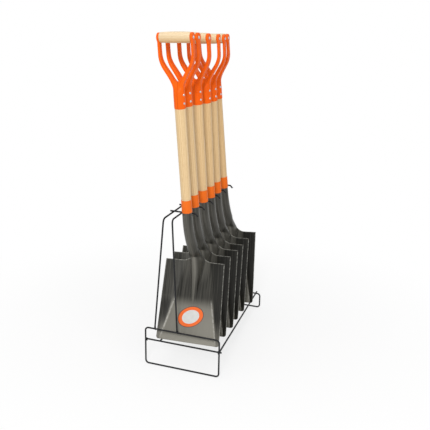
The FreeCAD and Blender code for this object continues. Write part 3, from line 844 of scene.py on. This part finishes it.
def wood_group():
    """Straight grain along Z: growth rings and fine pores, which are also a relief."""
    tree, given, result = recipe(
        "straight wood grain", "ShaderNodeTree",
        {"Place": "Vector", "Early Wood": "Color", "Late Wood": "Color",
         "Pore Colour": "Color", "Ring Spacing": "Float"},
        {"Colour": "Color", "Roughness": "Float", "Height": "Float"},
    )
    stretch = step(tree, "ShaderNodeMapping", Vector=given["Place"], Location=(0.11, 0.05, 0),
                   Scale=(1, 1, 0.06))
    wobble = step(tree, "ShaderNodeTexNoise", Vector=stretch, Scale=14.0, Detail=3.0)
    shift = step(tree, "ShaderNodeVectorMath", wobble.outputs["Color"], (0.05, 0.05, 0.05),
                 stretch, operation="MULTIPLY_ADD")
    rings = step(tree, "ShaderNodeTexWave", wave_type="RINGS", rings_direction="Z",
                 wave_profile="SAW", Vector=shift, Scale=given["Ring Spacing"],
                 Distortion=0.6, Detail=2.0).outputs["Fac"]
    body = step(tree, "ShaderNodeMix", data_type="RGBA", Factor=rings, A=given["Early Wood"],
                B=given["Late Wood"])
    fine = step(tree, "ShaderNodeMapping", Vector=given["Place"], Scale=(1, 1, 0.03))
    pores = step(tree, "ShaderNodeTexNoise", Vector=fine, Scale=1500.0, Detail=2.0)
    dots = step(tree, "ShaderNodeMapRange", pores, From_Min=0.60, From_Max=0.74)
    speck = step(tree, "ShaderNodeMix", data_type="RGBA", Factor=dots, A=body,
                 B=given["Pore Colour"])
    rough = step(tree, "ShaderNodeMapRange", rings, To_Min=0.34, To_Max=0.5)
    relief = step(tree, "ShaderNodeMath", dots, -0.6, rings, operation="MULTIPLY_ADD")
    feed(result, {"Colour": speck, "Roughness": rough, "Height": relief})
    return tree


WOOD = wood_group()


def varnished(name, early, late, pore, spacing, turn=(0, 0, 0)):
    """Clear varnish over straight grain; a mesh value darkens and warms the wood."""
    material, tree, shader = blank_material(name, early)
    way = step(tree, "ShaderNodeMapping", Vector=mark(tree, "place", "Vector"), Rotation=turn)
    group = step(tree, "ShaderNodeGroup", node_tree=WOOD, Place=way, Early_Wood=(*early, 1),
                 Late_Wood=(*late, 1), Pore_Colour=(*pore, 1), Ring_Spacing=spacing)
    relief = step(tree, "ShaderNodeBump", Strength=0.2, Distance=0.0002,
                  Height=group.outputs["Height"])
    aged = step(tree, "ShaderNodeMix", data_type="RGBA", blend_type="MULTIPLY",
                Factor=mark(tree, "tan"), A=group.outputs["Colour"], B=DARKENING_TINT)
    feed(shader, {
        "Base Color": aged, "Roughness": group.outputs["Roughness"], "Normal": relief,
        "Coat Weight": 0.12, "Coat Roughness": 0.3, "Specular IOR Level": 0.3,
    })
    return material


def other_plank(k):
    """Each piece of wood comes from another place in the tree."""
    return (0.05 * math.cos(2.4 * k), 0.05 * math.sin(2.4 * k), 0.37 * k)


shaft_wood = varnished("varnished shaft wood", (0.75, 0.56, 0.32), (0.62, 0.42, 0.205),
                       (0.48, 0.30, 0.14), spacing=60.0)
shaft_profile = [
    (0, SHAFT_FOOT), (0.0090, SHAFT_FOOT), (0.0100, SHAFT_FOOT + 0.001),
    (SOCKET_PLUG_R, -0.001), (SOCKET_PLUG_R, 0.0430), (0.0172, 0.0432), (0.0172, FERRULE_TOP),
]
for z in np.linspace(FERRULE_TOP + 0.0002, SHAFT_TOP - 0.001, 40):
    shaft_profile.append((shaft_radius(z) - SHAFT_CLEARANCE, z))
shaft_profile += [(0.0170, SHAFT_TOP), (0, SHAFT_TOP)]
shaft_points, shaft_faces = turned(shaft_profile)
for k in range(SHOVELS):
    soften(shovel_piece(k, "shaft", shaft_points, shaft_faces, shaft_wood, "shaft_wood",
                        shift=other_plank(k), tan=[SHOVEL_DARKENING[k]] * len(shaft_points)), 40)

# The yoke is pressed from steel and painted orange: a casing round the shaft's top forks
# into two arms with round ears. The halves are welded, so every join is smooth.

CASING_R = 0.0196
ARM_DEPTH = 0.022
ARM_EDGE_R = 0.0028
EAR_X = 0.057
EAR_UP = 0.228
EAR_HALF = 0.004
SADDLE_R = 0.011
SADDLE_UP = 0.098
SADDLE_HALF = 0.0078
SADDLE_SIDE = 0.0215
SADDLE_FOOT_SIDE, SADDLE_FOOT_UP = 0.0185, 0.074
WELD_LINE = (0.46, 0.058, 0.002, 1)
ARM_SIZES = (   # height, distance from the middle, thickness
    (0.060, 0.0098, 0.0125), (0.072, 0.0115, 0.0130), (0.086, 0.0160, 0.0130),
    (0.097, 0.0213, 0.0130), (0.108, 0.0278, 0.0125), (0.122, 0.0368, 0.0120),
    (0.137, 0.0463, 0.0110), (0.152, 0.0530, 0.0095), (0.167, 0.0564, 0.0085),
    (0.182, EAR_X, 0.0080), (0.196, EAR_X, 0.0080), (0.212, EAR_X, 0.0080),
    (EAR_UP, EAR_X, 0.0080),
)
NECK_SIZES = (  # height, half width, half depth, power of the rounded section
    (0.044, 0.0194, 0.0194, 2.0), (0.055, 0.0193, 0.0186, 2.05), (0.064, 0.0192, 0.0158, 2.3),
    (0.070, 0.0194, 0.0126, 2.7), (0.075, 0.0200, 0.0098, 3.1), (0.082, 0.0212, 0.0084, 3.6),
)


def lofted(outlines):
    """A closed body through rings of points that all have the same count."""
    wide = len(outlines[0])
    rings = [range(i * wide, (i + 1) * wide) for i in range(len(outlines))]
    faces = ring_faces(rings) + [tuple(rings[0])[::-1], tuple(rings[-1])]
    return np.concatenate(outlines), faces


def rounded_box_outline(middle, across, deep, thickness):
    ring = []
    for x, y, start in ((1, 1, 0), (-1, 1, 90), (-1, -1, 180), (1, -1, 270)):
        for turn in (0, 22.5, 45, 67.5, 90):
            angle = math.radians(start + turn)
            a = x * (thickness / 2 - ARM_EDGE_R) + ARM_EDGE_R * math.cos(angle)
            b = y * (ARM_DEPTH / 2 - ARM_EDGE_R) + ARM_EDGE_R * math.sin(angle)
            ring.append(middle + across * a + deep * b)
    return np.array(ring)


def rounded_power(turn, half, power):
    return half * np.sign(turn) * abs(turn) ** (2 / power)


def yoke_solids():
    """The casing, its flattened neck, the saddle between the arms, the arms and the ears."""
    solids = [turned([(0, 0), (0.0194, 0), (CASING_R, 0.0004), (CASING_R, 0.0495),
                      (0.0192, 0.050), (0, 0.050)])]
    angle = np.linspace(0, 2 * math.pi, 64, endpoint=False)
    solids.append(lofted([
        np.stack([rounded_power(np.cos(angle), half_x, power),
                  rounded_power(np.sin(angle), half_y, power), 0 * angle + height], 1)
        for height, half_x, half_y, power in NECK_SIZES
    ]))
    saddle = [(-SADDLE_FOOT_SIDE, SADDLE_FOOT_UP), (-SADDLE_SIDE, SADDLE_UP)]
    for a in np.radians(np.linspace(-165, -15, 13)):
        saddle.append((SADDLE_R * math.cos(a), SADDLE_UP + SADDLE_R * math.sin(a)))
    saddle += [(SADDLE_SIDE, SADDLE_UP), (SADDLE_FOOT_SIDE, SADDLE_FOOT_UP)]
    solids.append(lofted([
        np.array([(x, y, z) for x, z in saddle]) for y in (SADDLE_HALF, -SADDLE_HALF)
    ]))
    sizes = np.array(ARM_SIZES)
    chords = np.hypot(np.diff(sizes[:, 0]), np.diff(sizes[:, 1]))
    places = np.concatenate([[0], np.cumsum(chords)])
    fine = smooth_through(places, sizes, np.linspace(0, places[-1], 60))
    deep = np.array((0, 1, 0))
    for side in (-1, 1):
        middles = np.stack([side * fine[:, 1], 0 * fine[:, 1], fine[:, 0]], 1)
        ways = np.gradient(middles, axis=0)
        ways /= np.linalg.norm(ways, axis=1, keepdims=True)
        solids.append(lofted([
            rounded_box_outline(middle, np.cross(deep, way), deep, thickness)
            for middle, way, thickness in zip(middles, ways, fine[:, 2])
        ]))
        disc, faces = turned([
            (0, -EAR_HALF), (0.0145, -EAR_HALF), (0.0152, -0.0036), (0.0155, -0.0029),
            (0.0155, 0.0029), (0.0152, 0.0036), (0.0145, EAR_HALF), (0, EAR_HALF),
        ])
        disc = np.array(disc)[:, (2, 1, 0)] * (1, 1, -1) + (side * EAR_X, 0, EAR_UP)
        solids.append((disc, faces))
    return solids


def yoke_mesh():
    """Joins the yoke's solids into one skin, as its welded and painted halves look."""
    points, faces = [], []
    for solid_points, solid_faces in yoke_solids():
        first = len(points)
        points += [tuple(p) for p in solid_points]
        faces += [tuple(first + i for i in face) for face in solid_faces]
    mesh = bpy.data.meshes.new("yoke_stock")
    mesh.from_pydata(points, [], faces)
    stock = bpy.data.objects.new("yoke_stock", mesh)
    scene.collection.objects.link(stock)
    remesh = stock.modifiers.new("weld", "REMESH")
    remesh.mode = "VOXEL"
    remesh.voxel_size = 0.0010
    smooth = stock.modifiers.new("press", "SMOOTH")
    smooth.factor = 0.5
    smooth.iterations = 6
    graph = bpy.context.evaluated_depsgraph_get()
    skin = bpy.data.meshes.new_from_object(stock.evaluated_get(graph))
    bpy.data.objects.remove(stock)
    local = np.empty(len(skin.vertices) * 3)
    skin.vertices.foreach_get("co", local)
    local = local.reshape(-1, 3) + (0, 0, YOKE_START)
    return local, [tuple(polygon.vertices) for polygon in skin.polygons]


def yoke_paint():
    """A deeper orange than the ferrule's, with the weld line down its front and back."""
    paint, tree, shader, group = orange_paint(
        "orange yoke paint", (0.86, 0.122, 0.003), (0.77, 0.098, 0.002)
    )
    apart = step(tree, "ShaderNodeSeparateXYZ", mark(tree, "place", "Vector"))
    away = step(tree, "ShaderNodeMath", apart, operation="ABSOLUTE")
    line = step(tree, "ShaderNodeMapRange", away, From_Min=0.0004, From_Max=0.0015,
                To_Min=1.0, To_Max=0.0, interpolation_type="SMOOTHSTEP")
    shade = step(tree, "ShaderNodeMath", line, 0.8, operation="MULTIPLY")
    seam = step(tree, "ShaderNodeMix", data_type="RGBA", Factor=shade,
                A=group.outputs["Colour"], B=WELD_LINE)
    groove = step(tree, "ShaderNodeMath", line, -3.0, group.outputs["Height"],
                  operation="MULTIPLY_ADD")
    feed(shader.inputs["Normal"].links[0].from_node, {"Height": groove})
    feed(shader, {"Base Color": seam})
    return paint


welded_orange = yoke_paint()
yoke_points, yoke_faces = yoke_mesh()
for k in range(SHOVELS):
    soften(shovel_piece(k, "yoke", yoke_points, yoke_faces, welded_orange, "orange_paint"), 60)

# Two rivets go through casing and shaft, and a pin through both ears and the grip. Their
# ends are set into low domed heads of bare zinc-plated steel.

GRIP_Z = YOKE_START + EAR_UP
RIVETS_UP = (0.018, 0.046)
RIVET_TURN = math.radians(70)
RIVET_SEAT = 0.0195
RIVET_HEAD = (0.0040, 0.0016)
PIN_HEAD = (0.0050, 0.0024)


def domed_heads_tree():
    """Sets a domed head on each marked point, with its flat side to the metal."""
    tree, given, result = recipe(
        "domed heads", "GeometryNodeTree",
        {"Geometry": "Geometry", "Head Radius": "Float", "Head Height": "Float",
         "Metal": "Material"},
        {"Geometry": "Geometry"},
    )
    ball = step(tree, "GeometryNodeMeshUVSphere", Segments=24, Rings=12, Radius=1)
    size = step(tree, "ShaderNodeCombineXYZ", given["Head Radius"], given["Head Radius"],
                given["Head Height"])
    facing = step(tree, "GeometryNodeInputNamedAttribute", data_type="FLOAT_VECTOR",
                  Name="facing")
    aim = step(tree, "FunctionNodeAlignRotationToVector", Vector=facing)
    heads = step(tree, "GeometryNodeInstanceOnPoints", Points=given["Geometry"],
                 Instance=ball, Rotation=aim, Scale=size)
    coated(tree, heads, given["Metal"], result)
    return tree


DOMED_HEADS = domed_heads_tree()
zinc = painted("zinc plate", (0.62, 0.62, 0.61), (0.48, 0.48, 0.47), clouds=400.0,
               strength=0.8, rough=(0.22, 0.42), peel=2500.0, bump=0.1, local=False,
               metallic=0.9)[0]


def heads(k, part, marks, size):
    """marks are (place, direction) pairs in the shovel's own axes."""
    node = f"shovel_{k + 1}_{part}"
    turn = HANDLES[k].to_3x3()
    mesh = bpy.data.meshes.new(node + "_marks")
    mesh.from_pydata([HANDLES[k] @ Vector(place) for place, way in marks], [], [])
    facing = mesh.attributes.new("facing", "FLOAT_VECTOR", "POINT")
    for i, (place, way) in enumerate(marks):
        facing.data[i].vector = turn @ Vector(way)
    piece = run_tree(node + "_form", mesh, DOMED_HEADS, head_radius=size[0],
                     head_height=size[1], metal=zinc)
    soften(piece, 60)
    belongs(piece, f"shovel_{k + 1}", "rivet_steel", node)


rivet_way = Vector((math.sin(RIVET_TURN), -math.cos(RIVET_TURN), 0))
rivet_marks = [
    (way * RIVET_SEAT + Vector((0, 0, YOKE_START + height)), way)
    for height in RIVETS_UP for way in (rivet_way, -rivet_way)
]
pin_marks = [((side * (EAR_X + EAR_HALF), 0, GRIP_Z), (side, 0, 0)) for side in (-1, 1)]
for k in range(SHOVELS):
    heads(k, "yoke_rivets", rivet_marks, RIVET_HEAD)
    heads(k, "grip_pin", pin_marks, PIN_HEAD)

# The grip is a short turned bar of paler wood, a little fuller in its middle and eased at
# its ends, held between the ears. Its underside carries painted shade, warmed by a painted
# bounce of light from the orange yoke.

GRIP_HALF = 0.0527
GRIP_R = 0.0178
GRIP_TAPER = 0.0015

grip_wood = varnished("varnished grip wood", (0.74, 0.59, 0.39), (0.66, 0.49, 0.28),
                      (0.56, 0.41, 0.24), spacing=50.0, turn=(0, math.radians(90), 0))
grip_end = [(0, 0), (0.0145, 0), (0.0156, 0.0004), (0.0162, 0.0014)]
grip_profile = [(radius, inset - GRIP_HALF) for radius, inset in grip_end]
for z in np.linspace(0.004 - GRIP_HALF, GRIP_HALF - 0.004, 25):
    grip_profile.append((GRIP_R - GRIP_TAPER * (z / GRIP_HALF) ** 2, z))
grip_profile += [(radius, GRIP_HALF - inset) for radius, inset in reversed(grip_end)]
grip_points, grip_faces = turned(grip_profile, 56)
grip_points = np.array(grip_points)[:, (2, 1, 0)] * (1, 1, -1)
# Painted shade, darker and warmer, on the grip's underside.
underside_shade = eased(-grip_points[:, 2], -0.0070, 0.0160)
grip_points = grip_points + (0, 0, GRIP_Z)
for k in range(SHOVELS):
    tan = 0.5 * SHOVEL_DARKENING[k]
    soften(shovel_piece(k, "grip", grip_points, grip_faces, grip_wood, "grip_wood",
                        shift=other_plank(k + 7)[::-1], tan=tan + (1 - tan) * underside_shade), 40)

# The studio: a pale floor that runs to the horizon and whitens with distance, a white
# surround and three soft lamps. The floor keeps the rack's shadow.

FLOOR_HALF = 30
FADE_START, FADE_END = 0.35, 1.3
NEAR_WHITENESS = 0.72
FILL_LIGHT = 0.56
MIRRORED_SURROUND = 0.6

floor_mesh = bpy.data.meshes.new("studio_floor")
floor_mesh.from_pydata([
    (x * FLOOR_HALF, y * FLOOR_HALF, 0) for x, y in ((-1, -1), (1, -1), (1, 1), (-1, 1))
], [], [(0, 1, 2, 3)])
floor = bpy.data.objects.new("studio_floor", floor_mesh)
scene.collection.objects.link(floor)
floor_paint, tree, shader = blank_material("pale studio floor", (0.92, 0.92, 0.92))
feed(shader, {"Roughness": 0.9, "Specular IOR Level": 0.1})
white = step(tree, "ShaderNodeEmission", Color=(1, 1, 1, 1), Strength=1.0)
spot = tree.nodes.new("ShaderNodeTexCoord").outputs["Object"]
distance = step(tree, "ShaderNodeVectorMath", spot, operation="LENGTH")
fade = step(tree, "ShaderNodeMapRange", distance, From_Min=FADE_START, From_Max=FADE_END,
            To_Min=NEAR_WHITENESS, To_Max=1.0, interpolation_type="SMOOTHSTEP")
path = tree.nodes.new("ShaderNodeLightPath").outputs
seen = step(tree, "ShaderNodeMath", path["Is Camera Ray"], path["Is Glossy Ray"],
            operation="MAXIMUM")
share = step(tree, "ShaderNodeMath", seen, fade, operation="MULTIPLY")
mixed = step(tree, "ShaderNodeMixShader", share, shader, white)
feed(tree.nodes["Material Output"], {"Surface": mixed})
floor_mesh.materials.append(floor_paint)

world = bpy.data.worlds.new("studio")
scene.world = world
world.use_nodes = True
tree = world.node_tree
tree.nodes.clear()
fill = step(tree, "ShaderNodeBackground", Color=(1, 1, 1, 1), Strength=FILL_LIGHT)
seen = step(tree, "ShaderNodeBackground", Color=(1, 1, 1, 1), Strength=1.0)
path = tree.nodes.new("ShaderNodeLightPath").outputs
mirrored = step(tree, "ShaderNodeMath", path["Is Glossy Ray"], MIRRORED_SURROUND,
                operation="MULTIPLY")
either = step(tree, "ShaderNodeMath", path["Is Camera Ray"], mirrored, operation="MAXIMUM")
rays = step(tree, "ShaderNodeMath", either, path["Is Transmission Ray"], operation="MAXIMUM")
step(tree, "ShaderNodeOutputWorld", step(tree, "ShaderNodeMixShader", rays, fill, seen))


def softbox(name, place, aim, size, power):
    data = bpy.data.lights.new(name, "AREA")
    data.shape = "RECTANGLE"
    data.size, data.size_y = size
    data.energy = power
    lamp = bpy.data.objects.new(name, data)
    lamp.location = place
    lamp.rotation_euler = (Vector(aim) - Vector(place)).to_track_quat("-Z", "Y").to_euler()
    scene.collection.objects.link(lamp)


softbox("key", (0.75, -3.7, 2.7), (0, 0, 0.6), (0.7, 0.7), 84)
softbox("side", (2.8, -1.2, 2.0), (0, 0, 0.5), (1.2, 1.8), 12)
softbox("top", (-0.4, -0.2, 3.4), (0, 0, 0.4), (2.0, 2.0), 22)

scene.view_settings.view_transform = "Standard"
